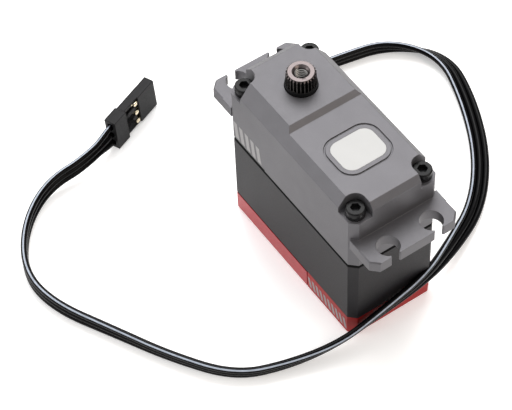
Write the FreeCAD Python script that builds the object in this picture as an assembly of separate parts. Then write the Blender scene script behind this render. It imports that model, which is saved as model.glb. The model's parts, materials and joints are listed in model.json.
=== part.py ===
import FreeCAD, Part
import math
import os

# Hobby servo motor, millimetres. Origin at the centre of the bottom face, +Z up along the output
# shaft, +X along the case towards the output-shaft end, +Y towards one long side.

V = FreeCAD.Vector
UP = V(0, 0, 1)

# ---- case ----
CASE_LENGTH = 41.2
CASE_WIDTH = 20.2
CORNER_CUT = 1.5            # vertical corner chamfer of every case section
BASE_TOP = 5.3
MIDDLE_TOP = 22.45
UPPER_BOTTOM = 23.0
LOW_TOP = 39.6              # top face over the motor half
HIGH_TOP = 40.6             # raised top face round the output shaft
SIDE_TOP = 37.4             # where the long sides break into the sloped shoulder
SHOULDER_Y = 8.4            # half width of the top face over the motor half
STEP_X = 2.05               # foot of the 45 degree step between the two top faces
NEAR_CHAMFER = (1.0, 1.5)   # run and drop of the chamfer across the motor end of the top
FAR_CHAMFER = (1.9, 1.8)    # the same at the lead end
WALL = 1.3
MIDDLE_WALL = 1.5
CAVITY_ROOF = 35.0
DECK_BOTTOM = 19.2          # the plate between the motor bay and the gearbox
JOINT_GAP = 0.25            # seam between the two base shells
SEAM_X = -5.6
BASE_FLOOR = 1.4
BOARD_LEDGE = 2.6
BASE_WALL = 1.6
LEDGE_WIDTH = 1.0
FOOT_BEVEL = 0.3
SEAL_HEIGHT = 0.45
BASE_SEAL = (0.35, 0.8)     # set in from the case outline, and width
BASE_SEAL_LIP = 0.12        # how far it is set in over the lead-end shell
CASE_SEAL = (0.12, 1.1)
CASE_SEAL_SEAT = 0.2        # depth of the rebate that the upper seal sits in
GROOVE_START = 8.4          # the upper case's lower edge is relieved from here to the lead end
RELIEF = (0.25, 0.3)        # height and depth of that relief
PAST = 60.0                 # a distance well outside the part, for cutting shapes
TINY = 1e-6

# ---- mounting ears ----
EAR_END = 27.25
EAR_BOTTOM = 28.7
EAR_TOP = 31.3
EAR_CORNER = 1.5
EAR_BEVEL = 0.25
EAR_BEVEL_START = 22.6
HOLE_SPACING_X = 49.5
HOLE_SPACING_Y = 10.0
HOLE_RADIUS = 2.3
SLOT_HALF = 0.9
LIP_RADIUS = 0.3

# ---- case screws (M2 socket head) ----
SCREW_X = 18.1
SCREW_Y = 7.7
SCREW_RADIUS = 1.0
SCREW_CLEARANCE = 1.05
HEAD_RADIUS = 1.9
HEAD_HEIGHT = 2.0
HEX_ACROSS = 1.75
HEX_DEPTH = 1.1
HEAD_BEVEL = 0.2
POCKET_FLOOR = 36.1
POCKET_RADIUS = 2.12
BOSS_RADIUS = 2.2
SCREW_TIP = 1.9

# ---- shafts and gears ----
OUTPUT_X = 9.95
IDLER_X = OUTPUT_X - 10.0
MOTOR_X = IDLER_X - 10.0
PRESSURE_ANGLE = math.radians(25)
ADDENDUM = 0.8              # in modules
DEDENDUM = 1.05
FLANK_RELIEF = 0.015        # metal off each flank at the pitch circle, which makes the backlash
FINE = 0.4                  # module of the first three gear pairs
COARSE = 0.5                # module of the last pair
PINION_TEETH = 10
WHEEL_TEETH = 40
OUTPUT_TEETH = 30
RUNNING = 0.04              # radial clearance of a bore that turns on its pin
JOURNAL = 1.25
SHAFT_RADIUS = 3.0
IDLER_RADIUS = 1.0
MOTOR_SHAFT_RADIUS = 0.75
SPLINE_TEETH = 25
SPLINE_TIP = 2.98
SPLINE_ROOT = 2.62
SPLINE_BOTTOM = 41.55
SHAFT_TOP = 44.5
THREAD_MINOR = 1.25
THREAD_DEPTH = 6.0
COLLAR_RADIUS = 3.2
COLLAR_BOTTOM = 40.0
SHAFT_HOLE = 3.28
SPLINE_TOOTH = ((-0.36, SPLINE_ROOT), (-0.10, SPLINE_TIP), (0.10, SPLINE_TIP), (0.36, SPLINE_ROOT))
SPLINE_BEVEL = 0.38
COUNTERSINK = (1.78, 0.5)   # radius at the shaft's end, and depth
SHOULDER_Z = 31.4           # where the output shaft widens from its journal
O_RING = (3.52, 0.48, 38.95)        # centre-line radius, section radius, height
O_RING_POCKET = (4.0, 39.6)         # radius and top of the pocket round it
IDLER_PIN_Z = (20.4, 36.6)
WASHER_RADIUS = 2.0
OUTPUT_GEAR_Z = (31.5, 34.2, 35.1)  # bottom and top of the teeth, and top of the hub
OUTPUT_HUB = 4.3
SPACER_TOP = 25.85
MOTOR_PINION_Z = (23.2, 25.8)
# compound gears: bottom of the sleeve, bottom and top of the wheel, top of the pinion
GEAR_1_Z = (23.05, 23.2, 25.8, 28.6)
GEAR_2_Z = (25.95, 26.1, 28.3, 31.25)
GEAR_3_Z = (28.75, 28.95, 31.15, 34.4)
SLEEVE = 0.6                # wall of a compound gear's sleeve
WHEEL_RIM = 1.6
WEB_RELIEF = 0.5

# ---- bearings: bore radius, outer radius, ball circle, ball radius, balls ----
UPPER_BEARING = (SHAFT_RADIUS, 5.0, 4.0, 0.5, 12)
LOWER_BEARING = (JOURNAL, 3.0, 2.125, 0.42, 8)
MOTOR_BEARING = (MOTOR_SHAFT_RADIUS, 2.0, 1.375, 0.28, 7)
UPPER_BEARING_Z = (35.3, 38.3)
LOWER_BEARING_Z = (MIDDLE_TOP - 2.6, MIDDLE_TOP)

# ---- motor ----
CAN_RADIUS = 8.25
CAN_WALL = 0.45
CAN_BOTTOM = 6.2
CAP_BOTTOM = 5.4
STACK_Z = (8.2, 16.2)
MAGNET_RADIUS = 3.5
AIR_GAP = 0.3
ROTOR_HUB = 1.5
COILS = 6
MOTOR_SCREW_Y = 5.2
MOTOR_SCREW_RADIUS = 0.8
MOTOR_SCREW_HEAD = (1.5, 21.2, 22.2)    # radius, bottom, top
MOTOR_HUB = 3.0
CAN_CROWN = 17.8
MOTOR_BEARING_Z = (5.4, 17.2)
MOTOR_BEARING_HEIGHT = 2.0
YOKE_INNER = 6.4
TOOTH_TIP = (0.8, 1.75)     # thickness and half width of a stator tooth's tip
TOOTH_HALF = 0.8
COIL_X = (4.75, 6.05)       # a coil's near and far face, from the motor's axis
COIL_HALF = 1.8
COIL_OVERHANG = 0.9

# ---- electronics ----
BOARD_Z = (BOARD_LEDGE, 3.5)
MAGNET_Z = (5.6, 7.6)
HOLDER_RADIUS = 2.9
HOLDER_TOP = 9.6
SENSOR_MAGNET_RADIUS = 2.0
BOARD_HALF = (18.8, 8.3)
CHIP_HEIGHT = 0.9
CAPACITOR = (2.4, -5.3, 2.5, 12.5)      # x, y, radius, top
TAIL_RADIUS = 0.5
TAIL_LENGTH = 3.6

# ---- badge inlay ----
BADGE_X = -8.4
BADGE_SIZE = (7.6, 9.6)
BADGE_CORNER = 2.2
BADGE_DEPTH = 0.4
GROOVE_GAP = 0.9
GROOVE_WIDTH = 0.35
GROOVE_DEPTH = 0.3

# ---- lead and plug ----
LEAD_DIAMETER = 3.9         # width of the three-wire ribbon
LEAD_Z = 3.3
BOOT_END = 23.6
BOOT_HALF = (2.6, 2.1)      # half width and half height of the boot's nose
BOOT_ROUND = 0.9
BOOT_NECK = (2.4, 2.0, 4.7)             # half width, bottom, top
BOOT_FLANGE = (3.1, 1.5, 4.9)
WALL_AT_BOOT = 1.6
FLANGE_DEPTH = 0.9
PLUG_REAR = V(47.6, 22.5, 4.005)
PLUG_HEADING = -68.0        # degrees, the way the plug points in plan
PLUG_LEAN = 4.0             # degrees off upright
PLUG_LENGTH = 14.2
PLUG_WIDTH = 7.5
PLUG_THICKNESS = 2.3
COLLAR_LENGTH = 3.9
COLLAR_PROUD = (0.25, 0.15)             # beyond the wide faces, and beyond the narrow ones
CONTACT_PITCH = 2.54
CHANNEL_HALF = 0.62
WINDOW_X = (4.1, 8.5)       # opening over each contact's locking lance, from the plug's rear
WINDOW_SINK = 0.3           # the face between collar and nose is set back by this
NOTCH_X = (7.7, 8.5)        # cross groove that the lances' tips stand in
NOTCH_DEPTH = 0.9
NOTCH_EDGE = 0.3
BARREL_X = (1.0, 11.5)
LANCE_X = (7.1, 8.2)
LANCE_REACH = 1.2
CONTACT_HALF = 0.5

# Route of the lead: straight runs between these points, rounded by an arc at each.
LEAD_ROUTE = [
    (BOOT_END, 0, LEAD_Z),
    (30.6, 0, LEAD_Z),
    (36.8, -3.5, 2.8),
    (40.55, -9.9, 2.4),
    (40.5, -19.0, 2.0),
    (38.5, -31.0, 2.0),
    (35.8, -42.0, 2.0),
    (24.0, -49.5, 2.0),
    (10.5, -44.2, 2.0),
    (-2.5, -38.2, 2.0),
    (-13.5, -28.5, 2.0),
    (-24.0, -18.5, 2.0),
    (-27.2, -7.0, 2.0),
    (-27.6, 4.5, 2.0),
    (-25.3, 15.5, 2.0),
    (-20.8, 26.5, 2.0),
    (-14.5, 36.0, 2.0),
    (-4.0, 42.5, 2.0),
    (7.5, 47.2, 2.0),
    (18.5, 53.0, 2.0),
    (29.5, 55.0, 2.0),
    (39.8, 49.6, 2.2),
    (45.6, 40.0, 3.0),
    (44.603, 29.917, 4.005),
    (PLUG_REAR.x, PLUG_REAR.y, PLUG_REAR.z),
]


# ---- shape helpers ----
def box(x0, x1, y0, y1, z0, z1):
    return Part.makeBox(x1 - x0, y1 - y0, z1 - z0, V(x0, y0, z0))


def rod(radius, z0, z1, x=0.0, y=0.0):
    return Part.makeCylinder(radius, z1 - z0, V(x, y, z0), UP)


def ring(outer, inner, z0, z1, x=0.0, y=0.0):
    return rod(outer, z0, z1, x, y).cut(rod(inner, z0 - 1, z1 + 1, x, y))


def prism(points, z0, z1):
    wire = Part.makePolygon([V(x, y, z0) for x, y in points + points[:1]])
    return Part.Face(wire).extrude(V(0, 0, z1 - z0))


def octagon(half_x, half_y, cut, z0, z1):
    """Rectangle with its four corners cut at 45 degrees, raised from z0 to z1."""
    right = [(half_x, -half_y + cut), (half_x, half_y - cut), (half_x - cut, half_y)]
    left = [(-x, y) for x, y in reversed(right)]
    points = right + left + [(-half_x + cut, -half_y), (half_x - cut, -half_y)]
    return prism(points, z0, z1)


def case_section(z0, z1, inset=0.0):
    cut = CORNER_CUT - inset * (2 - math.sqrt(2))
    return octagon(CASE_LENGTH / 2 - inset, CASE_WIDTH / 2 - inset, cut, z0, z1)


def rounded_slab(size_x, size_y, radius, z0, z1, x=0.0):
    slab = box(x - size_x / 2, x + size_x / 2, -size_y / 2, size_y / 2, z0, z1)
    upright = [e for e in slab.Edges if abs(e.tangentAt(e.FirstParameter).z) > 0.9]
    return slab.makeFillet(radius, upright)


def fuse(shapes):
    return shapes[0].multiFuse(shapes[1:]).removeSplitter()


def cut(shape, tools):
    for tool in tools:
        shape = shape.cut(tool)
    return shape


def corners():
    return [(sx * SCREW_X, sy * SCREW_Y) for sx in (-1, 1) for sy in (-1, 1)]


def bay(half_x, half_y, boss, z0, z1):
    """Inner space of a case section, which leaves a screw boss in each corner."""
    space = box(-half_x, half_x, -half_y, half_y, z0, z1)
    bosses = [rod(boss, z0 - 1, z1 + 1, x, y) for x, y in corners()]
    blocks = [box(min(x, 2 * x), max(x, 2 * x), min(y, 2 * y), max(y, 2 * y), z0 - 1, z1 + 1)
              for x, y in corners()]
    return cut(space, bosses + blocks)


def screw_holes(radius, z0, z1):
    return [rod(radius, z0, z1, x, y) for x, y in corners()]


def extrude_along_x(points, x0, x1):
    """Closed outline of (y, z) points pushed from x0 to x1."""
    wire = Part.makePolygon([V(x0, y, z) for y, z in points + points[:1]])
    return Part.Face(wire).extrude(V(x1 - x0, 0, 0))


def extrude_along_y(points, half):
    """Closed outline of (x, z) points pushed from -half to +half."""
    wire = Part.makePolygon([V(x, -half, z) for x, z in points + points[:1]])
    return Part.Face(wire).extrude(V(0, 2 * half, 0))


# ---- case ----
def shoulder_cuts():
    """Sloped shoulder along each long side of the upper case."""
    half = CASE_WIDTH / 2
    slope = (LOW_TOP - SIDE_TOP) / (half - SHOULDER_Y)
    rise = 5.0
    wedges = []
    for side in (-1, 1):
        line = [(side * half, SIDE_TOP), (side * (half - rise / slope), SIDE_TOP + rise),
                (side * PAST, SIDE_TOP + rise), (side * PAST, SIDE_TOP)]
        wedges.append(extrude_along_x(line, -PAST, PAST))
    return wedges


def top_cuts():
    """Step down to the motor half, and the chamfer across each end."""
    end = CASE_LENGTH / 2
    drop = HIGH_TOP - LOW_TOP
    step = [(-PAST, LOW_TOP), (STEP_X, LOW_TOP), (STEP_X + drop, HIGH_TOP), (STEP_X + drop, PAST),
            (-PAST, PAST)]
    lines = [step]
    for side, top, (run, fall) in ((-1, LOW_TOP, NEAR_CHAMFER), (1, HIGH_TOP, FAR_CHAMFER)):
        lines.append([(side * end, top - fall), (side * (end - run), top), (side * (end - run), PAST),
                      (side * PAST, PAST), (side * PAST, top - fall)])
    return [extrude_along_y(line, PAST) for line in lines]


def screw_pocket(x, y):
    """Corner notch over a case screw, rounded where its two walls meet."""
    sx = math.copysign(1, x)
    sy = math.copysign(1, y)
    wall_x = sorted((x - sx * POCKET_RADIUS, sx * PAST))
    wall_y = sorted((y - sy * POCKET_RADIUS, sy * PAST))
    past_x = sorted((x, sx * PAST))
    past_y = sorted((y, sy * PAST))
    return fuse([rod(POCKET_RADIUS, POCKET_FLOOR, PAST, x, y),
                 box(*wall_x, *past_y, POCKET_FLOOR, PAST),
                 box(*past_x, *wall_y, POCKET_FLOOR, PAST)])


def outer_half(side, inner):
    """Everything beyond x = inner on one side."""
    return box(*sorted((side * inner, side * PAST)), -PAST, PAST, 0, PAST)


def ear_bevel(turn, x, y, length):
    """Tool for a small bevel along a top edge of an ear; its outward side faces turn degrees."""
    reach = EAR_BEVEL + 1
    tool = extrude_along_y([(1, -reach), (1, 1), (-reach, 1)], length / 2)
    tool.rotate(V(0, 0, 0), UP, turn)
    tool.translate(V(x, y, EAR_TOP))
    return tool


def ear(side):
    """One mounting ear with its two keyhole slots open to the end."""
    half = CASE_WIDTH / 2
    plate = octagon(EAR_END, half, EAR_CORNER, EAR_BOTTOM, EAR_TOP).common(outer_half(side, 0))
    hole_x = side * HOLE_SPACING_X / 2
    for hole_y in (-HOLE_SPACING_Y / 2, HOLE_SPACING_Y / 2):
        slot_x = sorted((hole_x, side * PAST))
        plate = plate.cut(rod(HOLE_RADIUS, 0, PAST, hole_x, hole_y))
        plate = plate.cut(box(*slot_x, hole_y - SLOT_HALF, hole_y + SLOT_HALF, 0, PAST))
    plate = plate.makeFillet(LIP_RADIUS, [e for e in plate.Edges if is_slot_lip(e)])
    length = EAR_END - EAR_BEVEL_START
    for sy in (-1, 1):
        middle = EAR_CORNER / 2
        facing = math.degrees(math.atan2(sy, side))
        plate = plate.cut(ear_bevel(facing, side * (EAR_END - middle), sy * (half - middle), 2 * length))
        plate = plate.cut(ear_bevel(90 * sy, side * (EAR_BEVEL_START + length), sy * half, 2 * length))
    return plate


def is_slot_lip(edge):
    """True for the upright edges where a slot meets the end of its ear."""
    a = edge.Vertexes[0]
    b = edge.Vertexes[-1]
    upright = abs(a.X - b.X) < TINY and abs(a.Y - b.Y) < TINY
    at_end = abs(abs(a.X) - EAR_END) < TINY
    at_slot = abs(abs(abs(a.Y) - HOLE_SPACING_Y / 2) - SLOT_HALF) < TINY
    return upright and at_end and at_slot


def edge_relief():
    """Shallow relief along the lower edge of the upper case, which widens the seam there."""
    height, depth = RELIEF
    band = case_section(UPPER_BOTTOM - 1, UPPER_BOTTOM + height).cut(case_section(0, PAST, depth))
    return band.common(outer_half(1, GROOVE_START))


def upper_case():
    end = CASE_LENGTH / 2
    body = cut(case_section(UPPER_BOTTOM, PAST), shoulder_cuts() + top_cuts())
    body = cut(body, [box(-PAST, PAST, -PAST, PAST, HIGH_TOP, 2 * PAST)])
    body = cut(body, [screw_pocket(x, y) for x, y in corners()])
    ears = [ear(side).common(outer_half(side, end - 1)) for side in (-1, 1)]
    ears = [cut(one, screw_holes(SCREW_CLEARANCE, 0, PAST)) for one in ears]
    body = cut(body, screw_holes(SCREW_CLEARANCE, 0, PAST))
    body = fuse([body] + ears)
    pocket_radius, pocket_top = O_RING_POCKET
    return cut(body, [
        bay(end - WALL - 0.1, CASE_WIDTH / 2 - WALL, BOSS_RADIUS, UPPER_BOTTOM - 1, CAVITY_ROOF),
        rod(UPPER_BEARING[1], CAVITY_ROOF - 1, UPPER_BEARING_Z[1], OUTPUT_X),
        rod(pocket_radius, CAVITY_ROOF - 1, pocket_top, OUTPUT_X),
        rod(SHAFT_HOLE, CAVITY_ROOF - 1, PAST, OUTPUT_X),
        rod(IDLER_RADIUS, CAVITY_ROOF - 1, IDLER_PIN_Z[1], IDLER_X),
        edge_relief(),
        badge_groove(),
        rounded_slab(*BADGE_SIZE, BADGE_CORNER, LOW_TOP - BADGE_DEPTH, PAST, BADGE_X),
    ])


def badge_groove():
    """Thin engraved outline round the badge inlay."""
    outer = [s + 2 * (GROOVE_GAP + GROOVE_WIDTH) for s in BADGE_SIZE]
    inner = [s + 2 * GROOVE_GAP for s in BADGE_SIZE]
    floor = LOW_TOP - GROOVE_DEPTH
    corner = BADGE_CORNER + GROOVE_GAP
    around = rounded_slab(*outer, corner + GROOVE_WIDTH, floor, PAST, BADGE_X)
    return around.cut(rounded_slab(*inner, corner, floor - 1, PAST + 1, BADGE_X))


def middle_case():
    body = case_section(BASE_TOP, MIDDLE_TOP)
    seat = case_section(MIDDLE_TOP - CASE_SEAL_SEAT, PAST).cut(case_section(0, PAST, sum(CASE_SEAL)))
    holes = [
        seat,
        bay(CASE_LENGTH / 2 - MIDDLE_WALL, CASE_WIDTH / 2 - MIDDLE_WALL, BOSS_RADIUS, BASE_TOP - 1,
            DECK_BOTTOM),
        rod(LOWER_BEARING[1], LOWER_BEARING_Z[0], PAST, OUTPUT_X),
        rod(JOURNAL + 0.3, DECK_BOTTOM - 1, PAST, OUTPUT_X),
        rod(IDLER_RADIUS, IDLER_PIN_Z[0], PAST, IDLER_X),
        rod(MOTOR_BEARING[1] + 0.7, DECK_BOTTOM - 1, PAST, MOTOR_X),
    ]
    holes += screw_holes(SCREW_CLEARANCE, 0, PAST)
    for y in (-MOTOR_SCREW_Y, MOTOR_SCREW_Y):
        holes.append(rod(MOTOR_SCREW_RADIUS + 0.05, DECK_BOTTOM - 1, PAST, MOTOR_X, y))
        holes.append(rod(MOTOR_SCREW_HEAD[0] + 0.1, MOTOR_SCREW_HEAD[1], PAST, MOTOR_X, y))
    return cut(body, holes)


def seal(z0, z1, inset, width):
    """Flat gasket that follows the case outline, set in from its faces."""
    return case_section(z0, z1, inset).cut(case_section(z0 - 1, z1 + 1, inset + width))


def base_tub():
    half_x = CASE_LENGTH / 2
    half_y = CASE_WIDTH / 2
    body = case_section(0, BASE_TOP)
    foot = [e for e in body.Edges if e.BoundBox.ZMax < TINY]
    body = body.makeChamfer(FOOT_BEVEL, foot)
    below = BASE_WALL + LEDGE_WIDTH
    return cut(body, [
        bay(half_x - BASE_WALL, half_y - BASE_WALL, BOSS_RADIUS, BOARD_LEDGE, BASE_TOP + 1),
        bay(half_x - below, half_y - below, BOSS_RADIUS, BASE_FLOOR, BASE_TOP + 1),
    ] + screw_holes(SCREW_RADIUS, SCREW_TIP, BASE_TOP + 1))


def base_shell_motor_end():
    half = base_tub().common(box(-PAST, SEAM_X - JOINT_GAP / 2, -PAST, PAST, -1, PAST))
    return half.cut(lower_seal())


def base_shell_lead_end():
    end = CASE_LENGTH / 2
    half = base_tub().common(box(SEAM_X + JOINT_GAP / 2, PAST, -PAST, PAST, -1, PAST))
    neck_half, neck_bottom, _ = BOOT_NECK
    flange_half = BOOT_FLANGE[0] + 0.1
    return cut(half, [
        box(-PAST, PAST, -PAST, PAST, BASE_TOP - SEAL_HEIGHT, PAST),
        box(end - WALL_AT_BOOT - 0.1, PAST, -neck_half, neck_half, neck_bottom, PAST),
        box(end - WALL_AT_BOOT - 1.1, end - WALL_AT_BOOT, -flange_half, flange_half, BASE_FLOOR, PAST),
    ])


def upper_seal():
    return seal(MIDDLE_TOP - CASE_SEAL_SEAT, UPPER_BOTTOM, *CASE_SEAL)


def lower_seal():
    """Gasket under the middle section, which reaches nearly to the outline over the lead-end shell."""
    bottom = BASE_TOP - SEAL_HEIGHT
    lip = seal(bottom, BASE_TOP, BASE_SEAL_LIP, BASE_SEAL[0]).common(outer_half(1, SEAM_X + JOINT_GAP / 2))
    return fuse([seal(bottom, BASE_TOP, *BASE_SEAL), lip])


def hex_socket(z0, z1, x, y):
    radius = HEX_ACROSS / math.sqrt(3)
    points = [(x + radius * math.cos(math.radians(60 * i)), y + radius * math.sin(math.radians(60 * i)))
              for i in range(6)]
    return prism(points, z0, z1)


def case_screw(x, y):
    top = POCKET_FLOOR + HEAD_HEIGHT
    head = rod(HEAD_RADIUS, POCKET_FLOOR, top, x, y)
    rim = [e for e in head.Edges if e.BoundBox.ZMin > top - 1e-3]
    head = head.makeChamfer(HEAD_BEVEL, rim)
    head = head.cut(hex_socket(top - HEX_DEPTH, top + 1, x, y))
    return fuse([head, rod(SCREW_RADIUS, SCREW_TIP, POCKET_FLOOR, x, y)])


# ---- gears ----
def involute(angle):
    return math.tan(angle) - angle


def gear(teeth, module, bore, z0, z1, x, phase):
    """Spur gear with 25 degree involute flanks drawn as arcs; phase is the angle of one tooth in degrees."""
    pitch = module * teeth / 2
    base = pitch * math.cos(PRESSURE_ANGLE)
    tip = pitch + ADDENDUM * module
    root = pitch - DEDENDUM * module
    half_at_pitch = math.pi / (2 * teeth) - FLANK_RELIEF / pitch
    start = max(base, root)

    def half_angle(radius):
        roll = math.acos(min(1.0, base / radius))
        return half_at_pitch + involute(PRESSURE_ANGLE) - involute(roll)

    def at(radius, angle):
        return V(x + radius * math.cos(angle), radius * math.sin(angle), z0)

    edges = []
    for i in range(teeth):
        centre = math.radians(phase) + 2 * math.pi * i / teeth
        following = centre + 2 * math.pi / teeth
        low, middle, high = start, (start + tip) / 2, tip
        right = [at(r, centre - half_angle(r)) for r in (low, middle, high)]
        left = [at(r, centre + half_angle(r)) for r in (high, middle, low)]
        foot_right = at(root, centre - half_angle(low))
        foot_left = at(root, centre + half_angle(low))
        next_foot = at(root, following - half_angle(low))
        if start > root:
            edges.append(Part.LineSegment(foot_right, right[0]).toShape())
        edges.append(Part.Arc(*right).toShape())
        edges.append(Part.Arc(right[2], at(tip, centre), left[0]).toShape())
        edges.append(Part.Arc(*left).toShape())
        if start > root:
            edges.append(Part.LineSegment(left[2], foot_left).toShape())
        edges.append(Part.Arc(foot_left, at(root, (centre + following) / 2), next_foot).toShape())
    solid = Part.Face(Part.Wire(edges)).extrude(V(0, 0, z1 - z0))
    return solid.cut(rod(bore, z0 - 1, z1 + 1, x))


def wheel(bore, z0, z1, x):
    """Large gear, half a tooth out of phase so that a tooth space faces its pinion."""
    body = gear(WHEEL_TEETH, FINE, bore, z0, z1, x, 180.0 / WHEEL_TEETH)
    web_outer = FINE * WHEEL_TEETH / 2 - WHEEL_RIM
    return body.cut(ring(web_outer, bore + 1.5, z1 - WEB_RELIEF, z1 + 1, x))


def compound_gear(name, x, bore, heights, pinion_module):
    """Wheel pressed on a pinion; the pinion is one piece from the sleeve to its teeth."""
    bottom, wheel_bottom, wheel_top, pinion_top = heights
    sleeve = bore + SLEEVE
    teeth = gear(PINION_TEETH, pinion_module, bore, wheel_top, pinion_top, x, 0.0)
    pinion = fuse([teeth, ring(sleeve, bore, bottom, wheel_top, x)])
    return {name + "_wheel": wheel(sleeve, wheel_bottom, wheel_top, x), name + "_pinion": pinion}


# ---- bearings ----
def bearing(sizes, z0, z1, x):
    """Ball bearing as an inner ring, an outer ring and its balls."""
    bore, outer, circle, ball, count = sizes
    middle = (z0 + z1) / 2
    race = Part.makeTorus(circle, ball + 0.02, V(x, 0, middle), UP)
    land = ball * 0.75
    inner_ring = ring(circle - land, bore, z0, z1, x).cut(race)
    outer_ring = ring(outer, circle + land, z0, z1, x).cut(race)
    balls = []
    for i in range(count):
        turn = 2 * math.pi * i / count
        balls.append(Part.makeSphere(ball, V(x + circle * math.cos(turn), circle * math.sin(turn), middle)))
    return inner_ring, outer_ring, balls


# ---- output shaft ----
def spline():
    points = []
    pitch = 2 * math.pi / SPLINE_TEETH
    for i in range(SPLINE_TEETH):
        for share, radius in SPLINE_TOOTH:
            turn = (i + share) * pitch
            points.append((OUTPUT_X + radius * math.cos(turn), radius * math.sin(turn)))
    teeth = prism(points, SPLINE_BOTTOM, SHAFT_TOP)
    rim = SHAFT_TOP - SPLINE_BEVEL
    blank_radius = SPLINE_TIP + 0.02
    nose = Part.makeCone(blank_radius, SPLINE_ROOT - 0.05, SPLINE_BEVEL, V(OUTPUT_X, 0, rim), UP)
    return teeth.common(fuse([rod(blank_radius, SPLINE_BOTTOM, rim, OUTPUT_X), nose]))


def output_shaft():
    body = fuse([
        rod(JOURNAL, MAGNET_Z[1], SHOULDER_Z, OUTPUT_X),
        rod(SHAFT_RADIUS, SHOULDER_Z, SPLINE_BOTTOM, OUTPUT_X),
        spline(),
    ])
    sink_radius, sink_depth = COUNTERSINK
    sink = Part.makeCone(THREAD_MINOR, sink_radius, sink_depth, V(OUTPUT_X, 0, SHAFT_TOP - sink_depth), UP)
    return cut(body, [rod(THREAD_MINOR, SHAFT_TOP - THREAD_DEPTH, PAST, OUTPUT_X), sink])


def output_gear():
    bottom, top, hub_top = OUTPUT_GEAR_Z
    body = gear(OUTPUT_TEETH, COARSE, SHAFT_RADIUS, bottom, top, OUTPUT_X, 180.0 / OUTPUT_TEETH)
    return fuse([body, ring(OUTPUT_HUB, SHAFT_RADIUS, top, hub_top, OUTPUT_X)])


def dust_collar():
    return ring(COLLAR_RADIUS, SHAFT_RADIUS, COLLAR_BOTTOM, SPLINE_BOTTOM, OUTPUT_X)


def shaft_o_ring():
    circle, section, height = O_RING
    return Part.makeTorus(circle, section, V(OUTPUT_X, 0, height), UP)


# ---- motor ----
def motor_can():
    seat = MOTOR_BEARING_Z[1]
    shell = ring(CAN_RADIUS, CAN_RADIUS - CAN_WALL, CAN_BOTTOM, CAN_CROWN, MOTOR_X)
    plate = rod(CAN_RADIUS, CAN_CROWN, DECK_BOTTOM, MOTOR_X)
    boss = rod(MOTOR_HUB, seat, CAN_CROWN, MOTOR_X)
    threads = [rod(MOTOR_SCREW_RADIUS, seat, PAST, MOTOR_X, y) for y in (-MOTOR_SCREW_Y, MOTOR_SCREW_Y)]
    return cut(fuse([shell, plate, boss]), [rod(MOTOR_BEARING[1], seat - 1, PAST, MOTOR_X)] + threads)


def motor_end_cap():
    seat_top = MOTOR_BEARING_Z[0] + MOTOR_BEARING_HEIGHT
    disc = rod(CAN_RADIUS, CAP_BOTTOM, CAN_BOTTOM, MOTOR_X)
    spigot = ring(CAN_RADIUS - CAN_WALL, CAN_RADIUS - CAN_WALL - 1, CAN_BOTTOM, CAN_BOTTOM + 0.9, MOTOR_X)
    hub = rod(MOTOR_HUB, CAN_BOTTOM, seat_top, MOTOR_X)
    return fuse([disc, spigot, hub]).cut(rod(MOTOR_BEARING[1], 0, PAST, MOTOR_X))


def around_motor(shape, index):
    turned = shape.copy()
    turned.rotate(V(MOTOR_X, 0, 0), UP, 360.0 * index / COILS)
    return turned


def motor_stator():
    """Laminated core: a yoke with one T-shaped tooth for each coil."""
    yoke = ring(CAN_RADIUS - CAN_WALL, YOKE_INNER, *STACK_Z, MOTOR_X)
    bore = MAGNET_RADIUS + AIR_GAP
    thick, half = TOOTH_TIP
    tip = ring(bore + thick, bore, *STACK_Z, MOTOR_X).common(
        box(MOTOR_X, MOTOR_X + YOKE_INNER, -half, half, *STACK_Z))
    web = box(MOTOR_X + bore + thick / 2, MOTOR_X + YOKE_INNER + 0.2, -TOOTH_HALF, TOOTH_HALF, *STACK_Z)
    tooth = tip.fuse(web)
    return fuse([yoke] + [around_motor(tooth, i) for i in range(COILS)])


def motor_windings():
    near, far = COIL_X
    bottom, top = STACK_Z
    gap = 0.05
    opening = TOOTH_HALF + gap
    overhang = COIL_OVERHANG
    outer = box(MOTOR_X + near, MOTOR_X + far, -COIL_HALF, COIL_HALF, bottom - overhang, top + overhang)
    rounded = outer.makeFillet(0.6, [e for e in outer.Edges if e.BoundBox.XLength > 1])
    coil = rounded.cut(box(MOTOR_X, MOTOR_X + CAN_RADIUS, -opening, opening, bottom - gap, top + gap))
    return [around_motor(coil, i) for i in range(COILS)]


def motor_screw(y):
    radius, bottom, top = MOTOR_SCREW_HEAD
    slot = box(MOTOR_X - radius, MOTOR_X + radius, y - 0.2, y + 0.2, top - 0.4, PAST)
    head = rod(radius, bottom, top, MOTOR_X, y).cut(slot)
    return fuse([head, rod(MOTOR_SCREW_RADIUS, CAN_CROWN + 0.1, bottom, MOTOR_X, y)])


def motor_leads():
    return [rod(0.45, BOARD_Z[1], CAP_BOTTOM, MOTOR_X - 4.6, y) for y in (-2.2, 0.0, 2.2)]


# ---- sensor and electronics ----
def magnet_holder():
    cup = rod(HOLDER_RADIUS, MAGNET_Z[0], HOLDER_TOP, OUTPUT_X)
    return cut(cup, [rod(JOURNAL, 0, PAST, OUTPUT_X), rod(SENSOR_MAGNET_RADIUS, 0, MAGNET_Z[1], OUTPUT_X)])


def beyond(x, y, inset=0.0):
    """The corner region of the base outside a screw's centre, moved inwards in Y by inset."""
    sx = math.copysign(1, x)
    sy = math.copysign(1, y)
    return box(*sorted((x, sx * PAST)), *sorted((y - sy * inset, sy * PAST)), 0, PAST)


def control_board():
    half_x, half_y = BOARD_HALF
    board = box(-half_x, half_x, -half_y, half_y, *BOARD_Z)
    room = BOSS_RADIUS + 0.4
    clear = [rod(room, 0, PAST, x, y) for x, y in corners()]
    clear += [beyond(x, y, room) for x, y in corners()]
    notch = box(CASE_LENGTH / 2 - 4, PAST, -BOOT_FLANGE[0] - 0.5, BOOT_FLANGE[0] + 0.5, 0, PAST)
    return cut(board, clear + [notch])


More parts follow.
